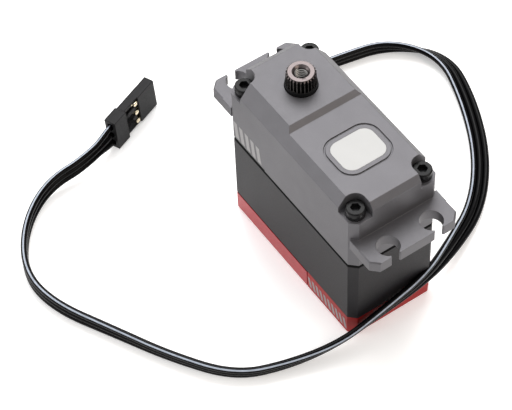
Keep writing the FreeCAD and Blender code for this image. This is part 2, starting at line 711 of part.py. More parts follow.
def chip(x, y, size_x, size_y, height):
    floor = BOARD_Z[1]
    return box(x - size_x / 2, x + size_x / 2, y - size_y / 2, y + size_y / 2, floor, floor + height)


def driver_transistors():
    return [chip(x, y, 2.2, 2.6, 0.8) for x in (-9.0, -5.6, -2.2) for y in (-5.4, 5.4)]


def power_capacitor():
    x, y, radius, top = CAPACITOR
    can = rod(radius, BOARD_Z[1], top, x, y)
    rim = [e for e in can.Edges if e.BoundBox.ZMin > top - 0.1]
    return can.makeFillet(0.3, rim)


def lead_tails():
    """The three stripped wire ends, soldered to the board behind the boot."""
    start = CASE_LENGTH / 2 - WALL_AT_BOOT - FLANGE_DEPTH - TAIL_LENGTH
    height = BOARD_Z[1] + TAIL_RADIUS
    ends = [V(start, y, height) for y in (-1.3, 0.0, 1.3)]
    return [Part.makeCylinder(TAIL_RADIUS, TAIL_LENGTH, at, V(1, 0, 0)) for at in ends]


# ---- lead ----
def cable_grommet():
    """Rubber boot: a flange inside the wall, a neck through it and a rounded nose outside."""
    end = CASE_LENGTH / 2
    inner = end - WALL_AT_BOOT
    half, tall = BOOT_HALF
    nose = box(end, BOOT_END, -half, half, LEAD_Z - tall, LEAD_Z + tall)
    nose = nose.makeFillet(BOOT_ROUND, [e for e in nose.Edges if e.BoundBox.XLength > 1])
    neck_half, neck_bottom, neck_top = BOOT_NECK
    neck = box(inner, end, -neck_half, neck_half, neck_bottom, neck_top)
    flange_half, flange_bottom, flange_top = BOOT_FLANGE
    flange = box(inner - FLANGE_DEPTH, inner, -flange_half, flange_half, flange_bottom, flange_top)
    return fuse([nose, neck, flange])


def lead_path(points):
    """Straight runs joined by tangent arcs, each as large as its two runs allow."""
    edges = []
    radii = []
    here = points[0]
    for before, corner, after in zip(points, points[1:], points[2:]):
        back = before - corner
        ahead = after - corner
        shorter = min(back.Length, ahead.Length)
        turn = math.pi - back.getAngle(ahead)
        reach = 0.45 * shorter
        radii.append((reach / math.tan(turn / 2), math.degrees(turn)))
        into = corner + back * (reach / back.Length)
        out = corner + ahead * (reach / ahead.Length)
        bisector = (back * (1 / back.Length) + ahead * (1 / ahead.Length)).normalize()
        radius = radii[-1][0]
        middle = corner + bisector * (radius / math.cos(turn / 2) - radius)
        edges.append(Part.LineSegment(here, into).toShape())
        edges.append(Part.Arc(into, middle, out).toShape())
        here = out
    edges.append(Part.LineSegment(here, points[-1]).toShape())
    return Part.Wire(edges), radii


def lead_cable():
    points = [V(*p) for p in LEAD_ROUTE]
    path, radii = lead_path(points)
    section = Part.Wire(Part.makeCircle(LEAD_DIAMETER / 2, points[0], points[1] - points[0]))
    tube = path.makePipeShell([section], True, False)
    expected = path.Length * math.pi * LEAD_DIAMETER ** 2 / 4
    print("lead: length %.1f mm, volume %.1f of %.1f mm3" % (path.Length, tube.Volume, expected))
    for radius, turn in radii:
        print("  turn %5.1f degrees, radius %6.1f mm" % (turn, radius))
    return tube


# ---- plug, built along +X from its rear face with its width along Z, then laid in place ----
def place_plug(shape):
    turned = shape.copy()
    turned.rotate(V(0, 0, 0), V(1, 0, 0), -PLUG_LEAN)
    turned.rotate(V(0, 0, 0), UP, PLUG_HEADING)
    turned.translate(PLUG_REAR)
    return turned


def contact_heights():
    return [-CONTACT_PITCH, 0.0, CONTACT_PITCH]


def plug_housing():
    half_w = PLUG_WIDTH / 2
    half_t = PLUG_THICKNESS / 2
    rear_t = half_t + COLLAR_PROUD[0]
    rear_w = half_w + COLLAR_PROUD[1]
    body = fuse([box(0, PLUG_LENGTH, -half_t, half_t, -half_w, half_w),
                 box(0, COLLAR_LENGTH, -rear_t, rear_t, -rear_w, rear_w)])
    tools = [box(COLLAR_LENGTH, WINDOW_X[1], -PAST, WINDOW_SINK - half_t, -PAST, PAST),
             box(*NOTCH_X, -PAST, NOTCH_DEPTH - half_t, NOTCH_EDGE - half_w, half_w - NOTCH_EDGE)]
    for z in contact_heights():
        bottom = z - CHANNEL_HALF
        top = z + CHANNEL_HALF
        tools.append(box(-1, PLUG_LENGTH + 1, -CHANNEL_HALF, CHANNEL_HALF, bottom, top))
        tools.append(box(*WINDOW_X, -PAST, 0, bottom, top))
    return place_plug(cut(body, tools))


def plug_contacts():
    contacts = []
    half = CONTACT_HALF
    for z in contact_heights():
        barrel = box(*BARREL_X, -half, half, z - half, z + half)
        lance = box(*LANCE_X, -LANCE_REACH, -half, z - half, z + half)
        contacts.append(place_plug(fuse([barrel, lance])))
    return contacts


# ---- the assembly ----
def case_pieces():
    return {
        "upper_case": upper_case(),
        "middle_case": middle_case(),
        "base_shell_motor_end": base_shell_motor_end(),
        "base_shell_lead_end": base_shell_lead_end(),
        "upper_seal": upper_seal(),
        "lower_seal": lower_seal(),
        "case_screws": [case_screw(x, y) for x, y in corners()],
        "badge_plate": rounded_slab(*BADGE_SIZE, BADGE_CORNER, LOW_TOP - BADGE_DEPTH, LOW_TOP, BADGE_X),
    }


def train_pieces():
    """Output shaft, gears and what carries them."""
    washers = [ring(WASHER_RADIUS, IDLER_RADIUS, MIDDLE_TOP, MIDDLE_TOP + 0.5, IDLER_X),
               ring(WASHER_RADIUS, IDLER_RADIUS, CAVITY_ROOF - 0.5, CAVITY_ROOF, IDLER_X)]
    pieces = {
        "output_shaft": output_shaft(),
        "output_gear": output_gear(),
        "dust_collar": dust_collar(),
        "shaft_o_ring": shaft_o_ring(),
        "output_spacer": ring(JOURNAL + 0.25, JOURNAL, MIDDLE_TOP + 0.05, SPACER_TOP, OUTPUT_X),
        "idler_pin": rod(IDLER_RADIUS, *IDLER_PIN_Z, IDLER_X),
        "idler_washers": washers,
    }
    pieces.update(compound_gear("gear_1", IDLER_X, IDLER_RADIUS + RUNNING, GEAR_1_Z, FINE))
    pieces.update(compound_gear("gear_2", OUTPUT_X, JOURNAL + RUNNING, GEAR_2_Z, FINE))
    pieces.update(compound_gear("gear_3", IDLER_X, IDLER_RADIUS + RUNNING, GEAR_3_Z, COARSE))
    return pieces


def motor_pieces():
    return {
        "motor_can": motor_can(),
        "motor_end_cap": motor_end_cap(),
        "motor_stator": motor_stator(),
        "motor_windings": motor_windings(),
        "rotor_magnet": ring(MAGNET_RADIUS, ROTOR_HUB, STACK_Z[0] - 0.2, STACK_Z[1] + 0.2, MOTOR_X),
        "rotor_hub": ring(ROTOR_HUB, MOTOR_SHAFT_RADIUS, STACK_Z[0] - 0.4, STACK_Z[1] + 0.6, MOTOR_X),
        "motor_shaft": rod(MOTOR_SHAFT_RADIUS, CAP_BOTTOM - 0.1, MOTOR_PINION_Z[1] + 0.1, MOTOR_X),
        "motor_pinion": gear(PINION_TEETH, FINE, MOTOR_SHAFT_RADIUS, *MOTOR_PINION_Z, MOTOR_X, 0.0),
        "motor_screws": [motor_screw(y) for y in (-MOTOR_SCREW_Y, MOTOR_SCREW_Y)],
        "motor_leads": motor_leads(),
    }


def electronics_pieces():
    return {
        "sensor_magnet": rod(SENSOR_MAGNET_RADIUS, *MAGNET_Z, OUTPUT_X),
        "magnet_holder": magnet_holder(),
        "position_sensor": chip(OUTPUT_X, 0, 4.0, 4.0, CHIP_HEIGHT),
        "control_board": control_board(),
        "microcontroller": chip(3.6, 3.6, 5.0, 5.0, CHIP_HEIGHT),
        "driver_transistors": driver_transistors(),
        "power_capacitor": power_capacitor(),
        "lead_tails": lead_tails(),
    }


def lead_pieces():
    return {
        "cable_grommet": cable_grommet(),
        "lead_cable": lead_cable(),
        "plug_housing": plug_housing(),
        "plug_contacts": plug_contacts(),
    }


def bearing_pieces():
    """Two output bearings, and the motor's pair of small ones kept together."""
    pieces = {}
    places = [("upper", UPPER_BEARING, UPPER_BEARING_Z), ("lower", LOWER_BEARING, LOWER_BEARING_Z)]
    for place, sizes, heights in places:
        inner, outer, balls = bearing(sizes, *heights, OUTPUT_X)
        pieces[place + "_bearing_inner_ring"] = inner
        pieces[place + "_bearing_outer_ring"] = outer
        pieces[place + "_bearing_balls"] = balls
    pair = [bearing(MOTOR_BEARING, z, z + MOTOR_BEARING_HEIGHT, MOTOR_X) for z in MOTOR_BEARING_Z]
    pieces["motor_bearing_inner_rings"] = [one[0] for one in pair]
    pieces["motor_bearing_outer_rings"] = [one[1] for one in pair]
    pieces["motor_bearing_balls"] = pair[0][2] + pair[1][2]
    return pieces


def build():
    pieces = {}
    for group in (case_pieces, train_pieces, motor_pieces, electronics_pieces, lead_pieces, bearing_pieces):
        pieces.update(group())
    return pieces


os.makedirs("parts", exist_ok=True)
for node, shape in build().items():
    if isinstance(shape, list):
        shape = Part.makeCompound(shape)
    shape.exportStep("parts/" + node + ".step")
    flag = "" if shape.isValid() else "  NOT VALID"
    print("%-28s solids %2d  volume %9.2f%s" % (node, len(shape.Solids), shape.Volume, flag))
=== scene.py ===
"""Looks of the hobby servo motor.

Materials, the flat three-wire lead, thread, printed bars, floor, lights and camera.
"""

import json
import math

import bpy
from mathutils import Matrix, Vector


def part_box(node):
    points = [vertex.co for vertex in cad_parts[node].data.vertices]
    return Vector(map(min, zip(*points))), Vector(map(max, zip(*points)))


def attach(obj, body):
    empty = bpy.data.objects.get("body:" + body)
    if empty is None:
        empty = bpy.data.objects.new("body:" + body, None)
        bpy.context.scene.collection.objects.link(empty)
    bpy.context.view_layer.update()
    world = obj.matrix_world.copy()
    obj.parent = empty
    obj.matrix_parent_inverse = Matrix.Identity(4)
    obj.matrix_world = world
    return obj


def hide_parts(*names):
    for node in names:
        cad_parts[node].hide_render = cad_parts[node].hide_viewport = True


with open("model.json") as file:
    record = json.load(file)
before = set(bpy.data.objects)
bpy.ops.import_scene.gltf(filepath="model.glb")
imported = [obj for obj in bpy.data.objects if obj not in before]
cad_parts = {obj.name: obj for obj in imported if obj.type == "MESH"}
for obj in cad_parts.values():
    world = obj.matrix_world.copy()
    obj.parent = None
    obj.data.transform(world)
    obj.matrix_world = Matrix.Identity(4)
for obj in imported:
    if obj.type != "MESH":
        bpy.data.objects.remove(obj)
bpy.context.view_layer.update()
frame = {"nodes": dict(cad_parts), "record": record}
NODES = frame["nodes"]
MM = 0.001

# ---- camera ----
CAMERA_PLACE = (-0.20468, 0.14733, 0.34835)
CAMERA_FORWARD = (0.50867, -0.32198, -0.79849)
CAMERA_UP = (0.648, -0.467, 0.601)
CAMERA_LENS = 148.75
SENSOR_WIDTH = 36.0
CLIP_START = 0.01
CLIP_END = 10.0

# ---- lead: its line in metres, then in degrees the ribbon's roll and the stripe's place round its wire ----
# Rolled 90 it stands on edge with the striped wire on top; at 0 or 180 it lies flat.
LEAD = [
    (0.0236, 0, 0.0033, 180, 5),
    (0.0306, 0, 0.0033, 172, 5),
    (0.0368, -0.0035, 0.0028, 140, 5),
    (0.0398, -0.0100, 0.0022, 112, 5),
    (0.0395, -0.0190, 0.00195, 99, 5),
    (0.0379, -0.0290, 0.00195, 96, 5),
    (0.0354, -0.0405, 0.00195, 98, 12),
    (0.0258, -0.0487, 0.00140, 154, 50),
    (0.0130, -0.0452, 0.00075, 180, 75),
    (-0.0002, -0.0384, 0.00075, 182, 78),
    (-0.0104, -0.0290, 0.00130, 165, 75),
    (-0.0168, -0.0174, 0.00400, 128, 60),
    (-0.0217, -0.0068, 0.00730, 88, 45),
    (-0.0220, 0.0050, 0.00520, 70, 40),
    (-0.0219, 0.0140, 0.00300, 62, 36),
    (-0.0196, 0.0245, 0.00190, 72, 24),
    (-0.0157, 0.0345, 0.00190, 74, 20),
    (-0.0045, 0.0422, 0.00190, 79, 26),
    (0.0065, 0.0479, 0.00195, 85, 34),
    (0.0185, 0.0543, 0.00195, 90, 25),
    (0.0285, 0.0553, 0.00195, 90, 12),
    (0.0386, 0.0496, 0.00200, 89, 3),
    (0.0450, 0.0403, 0.00260, 86, 0),
    (0.0446, 0.0299, 0.00400, 82, 0),
    (0.0476, 0.0225, 0.00400, 86, 5),
]
WIRE_PITCH = 1.29 * MM
WIRE_RADIUS = 0.65 * MM
PLUG_PITCH = 2.2 * MM       # the wires' pitch where they enter the plug
FAN_LENGTH = 5.5 * MM       # they part over this last stretch
WIRE_SIDES = 24
STRIPE_SIDES = (0, 1)       # the pale sides of the striped wire
STEPS = 16                  # points of the smooth line for each point above

# ---- plug: the middle of its rear face, its direction, and where the painted shade on its contacts gives way to gilt ----
PLUG_REAR = LEAD[-1][:3]
PLUG_ALONG = (0.3746, -0.9272, 0)
SHADE_FADE_START = 6.7 * MM
SHADE_FADE_END = 7.0 * MM

# ---- output shaft: its axis, teeth, bevels and end, and the screw thread in its bore ----
JOINTS = frame["record"]["behaviour"]["joints"]
SHAFT_X = next(joint for joint in JOINTS if joint["child"] == "output")["pos_m"][0]
SHAFT_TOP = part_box("output_shaft")[1].z
BEVEL_FOOT = SHAFT_TOP - 0.38 * MM      # height where the teeth's bevels start
END_FOOT = SHAFT_TOP - 0.08 * MM        # height above which it is the bright end face
BEVEL_INNER = 2.72 * MM     # radius outside which the bevels lie
# Painted shade: below this radius the teeth are painted near black, as shade in the valleys between them.
TOOTH_MIDDLE = 2.815 * MM   # radius half way up the teeth
VALLEY_SHADE_BLEND = 0.145 * MM
COUNTERSINK_RADIUS = 1.85 * MM
COUNTERSINK_BLEND = 0.05 * MM
EDGE_BLEND = 0.04 * MM
BORE_RADIUS = 1.25 * MM
THREAD_PITCH = 0.5 * MM
THREAD_HEIGHT = 0.16 * MM
THREAD_TOP = SHAFT_TOP - 0.5 * MM
THREAD_TURNS = 10
THREAD_STEPS = 40           # steps in one turn
# Corners of the thread's section: out in thread heights from the bore's wall, then up in pitches.
THREAD_SECTION = ((0.005, 0.25), (-1.0, 0.06), (-1.0, -0.06), (0.005, -0.25))

# ---- CAD pieces that show: width of their broken edges in mm, and its segments ----
BROKEN_EDGES = {
    "upper_case": (0.07, 2),
    "middle_case": (0.08, 2),
    "base_shell_motor_end": (0.08, 2),
    "base_shell_lead_end": (0.08, 2),
    "case_screws": (0.05, 2),
    "badge_plate": (0.04, 2),
    "dust_collar": (0.08, 2),
    "plug_housing": (0.12, 2),
    "plug_contacts": (0.25, 2),
    "cable_grommet": (0.3, 3),
    "output_shaft": (0.02, 1),
}
SHARP_ANGLE = math.radians(28)
FLAT_ANGLE = math.radians(0.5)
WELD_DISTANCE = 0.002 * MM

# ---- printed bars ----
PRINT_THICKNESS = 0.02 * MM
BOX_FACES = ((0, 1, 2, 3), (7, 6, 5, 4), (0, 4, 5, 1), (1, 5, 6, 2), (2, 6, 7, 3), (3, 7, 4, 0))

# ---- floor, lights and surroundings ----
FLOOR_HALF = 3.0
FLOOR_GLOW = 0.3
LIGHT_AIM = (0.005, 0, 0.02)
# Name, place in metres, size in metres, power in watts and colour of each light.
LIGHTS = [
    ("back", (0.38, -0.24, 0.75), 0.6, 5.8, (1, 1, 1)),
    ("left", (0.46, 0.73, 0.31), 0.5, 1.7, (1, 1, 1)),
    ("front", (-0.58, -0.25, 0.60), 0.5, 2.1, (1.0, 0.88, 0.76)),
]
SKY_BRIGHT_SIDE = (0.5, 0.35, 0.8)
SKY_DARK = (0.42, 0.41, 0.40, 1)
SKY_BRIGHT = (1.0, 1.0, 1.0, 1)
SKY_FULL = 0.9              # cosine to the bright side at which it is fully bright


# ---- materials ----
class Shader:
    """A Principled material built up from noise in the object's own coordinates."""

    def __init__(self, name, metallic=0.0, roughness=0.5, **sockets):
        self.material = bpy.data.materials.new(name)
        self.material.use_nodes = True
        self.tree = self.material.node_tree
        self.shader = self.tree.nodes["Principled BSDF"]
        self.set("Metallic", metallic)
        self.set("Roughness", roughness)
        for socket, value in sockets.items():
            self.set(socket.replace("_", " "), value)
        self.place = self.node("ShaderNodeTexCoord").outputs["Object"]

    def set(self, socket, value):
        self.shader.inputs[socket].default_value = value

    def node(self, kind, **values):
        node = self.tree.nodes.new(kind)
        for key, value in values.items():
            setattr(node, key, value)
        return node

    def link(self, output, entry):
        """Links output to entry and returns the node that entry belongs to."""
        self.tree.links.new(output, entry)
        return entry.node

    def stretched(self, scale):
        mapping = self.node("ShaderNodeMapping")
        mapping.inputs["Scale"].default_value = scale
        self.link(self.place, mapping.inputs["Vector"])
        return mapping.outputs["Vector"]

    def noise(self, grain, detail=4.0, stretch=None):
        """Noise whose spots are about grain metres across."""
        noise = self.node("ShaderNodeTexNoise")
        noise.inputs["Scale"].default_value = 1.0 / grain
        noise.inputs["Detail"].default_value = detail
        self.link(self.place if stretch is None else self.stretched(stretch), noise.inputs["Vector"])
        return noise.outputs["Fac"]

    def ramp(self, factor, low, high, start=0.3, end=0.7):
        """Value or colour that runs from low to high as factor runs from start to end."""
        ramp = self.node("ShaderNodeValToRGB")
        ramp.color_ramp.elements[0].position = start
        ramp.color_ramp.elements[1].position = end
        for element, value in zip(ramp.color_ramp.elements, (low, high)):
            element.color = (*value, 1) if isinstance(value, tuple) else (value, value, value, 1)
        self.link(factor, ramp.inputs["Fac"])
        return ramp.outputs["Color"]

    def colour(self, factor, low, high, start=0.3, end=0.7):
        self.link(self.ramp(factor, low, high, start, end), self.shader.inputs["Base Color"])
        return self

    def rough(self, factor, low, high):
        self.link(self.ramp(factor, low, high), self.shader.inputs["Roughness"])
        return self

    def bump(self, factor, height, strength=1.0):
        """Raises the surface by up to height metres."""
        bump = self.node("ShaderNodeBump")
        bump.inputs["Distance"].default_value = height
        bump.inputs["Strength"].default_value = strength
        self.link(factor, bump.inputs["Height"])
        self.link(bump.outputs["Normal"], self.shader.inputs["Normal"])
        return self


def tint(colour, share):
    return tuple(c * share for c in colour)


def satin(name, colour, spread=0.06, grain=0.25 * MM, lift=0.004 * MM, rough=(0.4, 0.5), **sockets):
    """Even surface with fine grain: anodised metal or moulded plastic."""
    made = Shader(name, **sockets)
    fine = made.noise(grain)
    made.colour(made.noise(4 * MM, 3.0), tint(colour, 1 - spread), tint(colour, 1 + spread))
    made.rough(fine, *rough)
    made.bump(fine, lift)
    return made.material


def turned(name, colour, rough, metallic=1.0):
    """Machined or wound surface: fine rings about Z."""
    made = Shader(name, metallic=metallic)
    lines = made.noise(0.12 * MM, 2.0, stretch=(0.15, 0.15, 3.0))
    made.colour(lines, tint(colour, 0.82), tint(colour, 1.08))
    made.rough(lines, *rough)
    made.bump(lines, 0.004 * MM)
    return made.material


def shaft_material():
    """Hard-coated dark teeth, with painted shade that makes them near black towards their roots in the
    valleys, and with the end face, the teeth's bevels and the bore cut bright afterwards.
    """
    made = Shader("shaft_steel", metallic=1.0)
    split = made.node("ShaderNodeSeparateXYZ")
    made.link(made.place, split.inputs["Vector"])
    flatten = made.node("ShaderNodeCombineXYZ")
    made.link(split.outputs["X"], flatten.inputs["X"])
    made.link(split.outputs["Y"], flatten.inputs["Y"])
    centred = made.node("ShaderNodeVectorMath", operation="DISTANCE")
    made.link(flatten.outputs["Vector"], centred.inputs[0])
    centred.inputs[1].default_value = (SHAFT_X, 0, 0)
    height = split.outputs["Z"]
    radius = centred.outputs["Value"]

    def step(value, middle, blend=EDGE_BLEND):
        """Runs from 0 to 1 from blend before middle to blend after it; the other way if blend is negative."""
        node = made.node("ShaderNodeMapRange")
        node.inputs["From Min"].default_value = middle - blend
        node.inputs["From Max"].default_value = middle + blend
        return made.link(value, node.inputs["Value"]).outputs["Result"]

    def join(operation, first, second):
        node = made.node("ShaderNodeMath", operation=operation)
        made.link(first, node.inputs[0])
        return made.link(second, node.inputs[1]).outputs["Value"]

    out = step(radius, BEVEL_INNER)
    bevel = join("MULTIPLY", step(height, BEVEL_FOOT), out)
    end = step(height, END_FOOT)
    bore = step(radius, COUNTERSINK_RADIUS, -COUNTERSINK_BLEND)
    bright = join("MAXIMUM", join("MAXIMUM", bevel, end), bore)
    spots = made.noise(0.4 * MM)
    # Painted shade: the valleys between the teeth are near black, grading to the coating's dark grey at the
    # tips.
    shaded_teeth = made.node("ShaderNodeMix", data_type="RGBA")
    made.link(step(radius, TOOTH_MIDDLE, VALLEY_SHADE_BLEND), shaded_teeth.inputs["Factor"])
    made.link(made.ramp(spots, (0.003, 0.003, 0.003), (0.006, 0.006, 0.006)), shaded_teeth.inputs["A"])
    made.link(made.ramp(spots, (0.060, 0.056, 0.054), (0.085, 0.080, 0.078)), shaded_teeth.inputs["B"])
    mix = made.node("ShaderNodeMix", data_type="RGBA")
    made.link(bright, mix.inputs["Factor"])
    made.link(shaded_teeth.outputs["Result"], mix.inputs["A"])
    made.link(made.ramp(spots, (0.095, 0.080, 0.080), (0.125, 0.107, 0.106)), mix.inputs["B"])
    made.link(mix.outputs["Result"], made.shader.inputs["Base Color"])
    made.rough(spots, 0.24, 0.34)
    made.bump(spots, 0.003 * MM)
    return made.material


def contact_material():
    """Plug contacts: gilt at the spring end, with near-black painted shade along the rest towards the wires.
    """
    made = Shader("contact_gold", metallic=1.0)
    shift = made.node("ShaderNodeVectorMath", operation="SUBTRACT")
    made.link(made.place, shift.inputs[0])
    shift.inputs[1].default_value = PLUG_REAR
    along = made.node("ShaderNodeVectorMath", operation="DOT_PRODUCT")
    made.link(shift.outputs["Vector"], along.inputs[0])
    along.inputs[1].default_value = PLUG_ALONG
    shade_to_gilt = made.node("ShaderNodeMapRange")
    shade_to_gilt.inputs["From Min"].default_value = SHADE_FADE_START
    shade_to_gilt.inputs["From Max"].default_value = SHADE_FADE_END
    made.link(along.outputs["Value"], shade_to_gilt.inputs["Value"])
    grain = made.noise(0.3 * MM)
    mix = made.node("ShaderNodeMix", data_type="RGBA")
    made.link(shade_to_gilt.outputs["Result"], mix.inputs["Factor"])
    # Painted shade: the contacts are near black towards the wires and fade into gilt at the spring end.
    made.link(made.ramp(grain, (0.010, 0.009, 0.008), (0.020, 0.018, 0.015)), mix.inputs["A"])
    made.link(made.ramp(grain, (0.78, 0.68, 0.48), (0.92, 0.82, 0.62)), mix.inputs["B"])
    made.link(mix.outputs["Result"], made.shader.inputs["Base Color"])
    made.rough(grain, 0.18, 0.3)
    made.bump(grain, 0.004 * MM)
    return made.material


def vinyl(name, colour, rough=(0.22, 0.34), shine=0.25):
    """Soft glossy wire insulation with faint smears along it."""
    made = Shader(name, Specular_IOR_Level=shine)
    smear = made.noise(1.2 * MM, 5.0)
    made.colour(smear, tint(colour, 0.85), tint(colour, 1.12))
    made.rough(smear, *rough)
    made.bump(made.noise(0.5 * MM), 0.01 * MM)
    return made.material


def board_material():
    """Green solder resist with paler tracks under it."""
    made = Shader("board_laminate", roughness=0.3)
    cells = made.node("ShaderNodeTexVoronoi", distance="MANHATTAN", feature="DISTANCE_TO_EDGE")
    cells.inputs["Scale"].default_value = 1 / (2.2 * MM)
    made.link(made.place, cells.inputs["Vector"])
    made.colour(cells.outputs["Distance"], (0.03, 0.20, 0.09), (0.012, 0.10, 0.045), 0.03, 0.08)
    made.bump(cells.outputs["Distance"], 0.02 * MM)
    return made.material


def laminated(name, colour):
    """Stack of thin sheets: fine level lines round the sides."""
    made = Shader(name, metallic=1.0)
    wave = made.node("ShaderNodeTexWave", bands_direction="Z")
    wave.inputs["Scale"].default_value = 1 / (0.7 * MM)
    made.link(made.place, wave.inputs["Vector"])
    made.colour(wave.outputs["Fac"], tint(colour, 0.6), tint(colour, 1.1))
    made.rough(made.noise(0.5 * MM), 0.3, 0.5)
    made.bump(wave.outputs["Fac"], 0.02 * MM)
    return made.material


def windings():
    """Enamelled wire wound round the core."""
    made = Shader("copper_wire", metallic=0.85)
    wave = made.node("ShaderNodeTexWave", bands_direction="X")
    wave.inputs["Scale"].default_value = 1 / (0.9 * MM)
    made.link(made.place, wave.inputs["Vector"])
    made.colour(wave.outputs["Fac"], (0.36, 0.12, 0.04), (0.78, 0.34, 0.14))
    made.rough(made.noise(0.5 * MM), 0.2, 0.35)
    made.bump(wave.outputs["Fac"], 0.05 * MM)
    return made.material


def make_materials():
    return {
        "gunmetal_aluminium": satin("gunmetal_aluminium", (0.124, 0.121, 0.129), 0.04, 0.22 * MM,
                                    rough=(0.46, 0.54), metallic=0.65, Specular_IOR_Level=0.2),
        "black_aluminium": satin("black_aluminium", (0.0125, 0.0114, 0.0132), 0.08, 0.22 * MM,
                                 rough=(0.46, 0.54), Specular_IOR_Level=0.2),
        "red_plastic": satin("red_plastic", (0.36, 0.015, 0.021), 0.05, 0.3 * MM, rough=(0.36, 0.46)),
        "deep_red_plastic": satin("deep_red_plastic", (0.31, 0.009, 0.009), 0.05, 0.3 * MM, rough=(0.4, 0.5),
                                  Specular_IOR_Level=0.2),
        "black_rubber": satin("black_rubber", (0.005, 0.005, 0.005), 0.2, 0.4 * MM, 0.02 * MM, (0.7, 0.85),
                              Specular_IOR_Level=0.05),
        "black_oxide_steel": satin("black_oxide_steel", (0.007, 0.007, 0.0075), 0.3, 0.3 * MM,
                                   rough=(0.2, 0.3), Specular_IOR_Level=0.12),
        "white_inlay": satin("white_inlay", (0.40, 0.40, 0.395), 0.02, 0.3 * MM, 0.002 * MM, (0.3, 0.4)),
        "spline_steel": shaft_material(),
        "gear_steel": turned("gear_steel", (0.50, 0.49, 0.48), (0.2, 0.32)),
        "gear_brass": turned("gear_brass", (0.75, 0.55, 0.24), (0.2, 0.32)),
        "thread_steel": turned("thread_steel", (0.34, 0.33, 0.32), (0.25, 0.4)),
        "bearing_steel": turned("bearing_steel", (0.70, 0.70, 0.71), (0.08, 0.18)),
        "can_aluminium": turned("can_aluminium", (0.60, 0.60, 0.61), (0.25, 0.4)),
        "core_steel": laminated("core_steel", (0.30, 0.30, 0.31)),
        "copper_wire": windings(),
        "magnet_nickel": turned("magnet_nickel", (0.66, 0.64, 0.60), (0.12, 0.22)),
        "board_laminate": board_material(),
        "chip_plastic": satin("chip_plastic", (0.018, 0.018, 0.018), 0.2, 0.12 * MM, 0.006 * MM, (0.45, 0.6)),
        "capacitor_sleeve": satin("capacitor_sleeve", (0.014, 0.018, 0.045), 0.2, 0.8 * MM,
                                  rough=(0.15, 0.25)),
        "wire_insulation": vinyl("wire_insulation", (0.012, 0.012, 0.012)),
        "lead_insulation": vinyl("lead_insulation", (0.0022, 0.0022, 0.0026), (0.14, 0.22), 0.08),
        "lead_stripe": vinyl("lead_stripe", (0.36, 0.40, 0.47)),
        "plug_plastic": satin("plug_plastic", (0.0065, 0.0062, 0.0075), 0.15, 0.35 * MM, 0.008 * MM,
                              (0.42, 0.55), Specular_IOR_Level=0.2),
        "contact_gold": contact_material(),
        "print_white": satin("print_white", (0.26, 0.25, 0.25), 0.04, 0.3 * MM, 0.003 * MM, (0.5, 0.6)),
    }


def paint(piece, *materials):
    piece.data.materials.clear()
    for material in materials:
        piece.data.materials.append(material)


# ---- CAD pieces ----
def break_edges(name, width, segments):
    """Rounds a node's sharp edges by width in metres, after joining its flat triangles into faces."""
    node = NODES[name]
    node.modifiers.new("weld", "WELD").merge_threshold = WELD_DISTANCE
    flat = node.modifiers.new("flat", "DECIMATE")
    flat.decimate_type = "DISSOLVE"
    flat.angle_limit = FLAT_ANGLE
    edges = node.modifiers.new("edges", "BEVEL")
    edges.width = width
    edges.segments = segments
    edges.angle_limit = SHARP_ANGLE
    edges.use_clamp_overlap = False
    smooth = node.modifiers.new("smooth", "WEIGHTED_NORMAL")
    smooth.keep_sharp = False
    smooth.weight = 100
    node.data.polygons.foreach_set("use_smooth", [True] * len(node.data.polygons))


def finish_cad_pieces(materials):
    for row in frame["record"]["subparts"]:
        paint(NODES[row["node"]], materials[row["material_slot"]])
    paint(NODES["base_shell_motor_end"], materials["deep_red_plastic"])
    for name, (width, segments) in BROKEN_EDGES.items():
        break_edges(name, width * MM, segments)


# ---- helpers for new pieces ----
def new_piece(name, verts, faces, body, slot, *materials):
    mesh = bpy.data.meshes.new(name)
    mesh.from_pydata(verts, [], faces)
    piece = bpy.data.objects.new(name, mesh)
    bpy.context.scene.collection.objects.link(piece)
    paint(piece, *materials)
    mesh.polygons.foreach_set("use_smooth", [True] * len(mesh.polygons))
    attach(piece, body)
    return piece


def smooth_line(points, steps):
    """Points along the NURBS line that has these as its control points."""
    curve = bpy.data.curves.new("line", "CURVE")
    curve.dimensions = "3D"
    curve.resolution_u = steps
    spline = curve.splines.new("NURBS")
    spline.points.add(len(points) - 1)
    for point, place in zip(spline.points, points):
        point.co = (*place, 1)
    spline.order_u = 3
    spline.use_endpoint_u = True
    holder = bpy.data.objects.new("line", curve)
    mesh = bpy.data.meshes.new_from_object(holder)
    line = [v.co.copy() for v in mesh.vertices]
    bpy.data.objects.remove(holder)
    bpy.data.curves.remove(curve)
    bpy.data.meshes.remove(mesh)
    return line


def ease(x):
    """0 up to 0, 1 from 1 on, and a smooth rise between."""
    x = min(1.0, max(0.0, x))
    return x * x * (3 - 2 * x)


def lengths_along(line):
    """For each point of the line, how far along it the point is."""
    total = [0.0]
    for a, b in zip(line, line[1:]):
        total.append(total[-1] + (b - a).length)
    return total


# ---- the lead: three wires moulded side by side, which part before the plug ----
def lead_sections(line, rolls, phases):
    """For each point of the line: place, across (towards the striped wire), over, phase and wire pitch."""
    run = lengths_along(line)
    sections = []
    for i, place in enumerate(line):
        along = (line[min(i + 1, len(line) - 1)] - line[max(i - 1, 0)]).normalized()
        side = Vector((0, 0, 1)).cross(along).normalized()
        rise = along.cross(side)
        roll = math.radians(rolls[i])
        across = side * math.cos(roll) + rise * math.sin(roll)
        fan = ease(1 - (run[-1] - run[i]) / FAN_LENGTH)
        pitch = WIRE_PITCH + fan * (PLUG_PITCH - WIRE_PITCH)
        sections.append((place, across, across.cross(along), math.radians(phases[i]), pitch))
    return sections


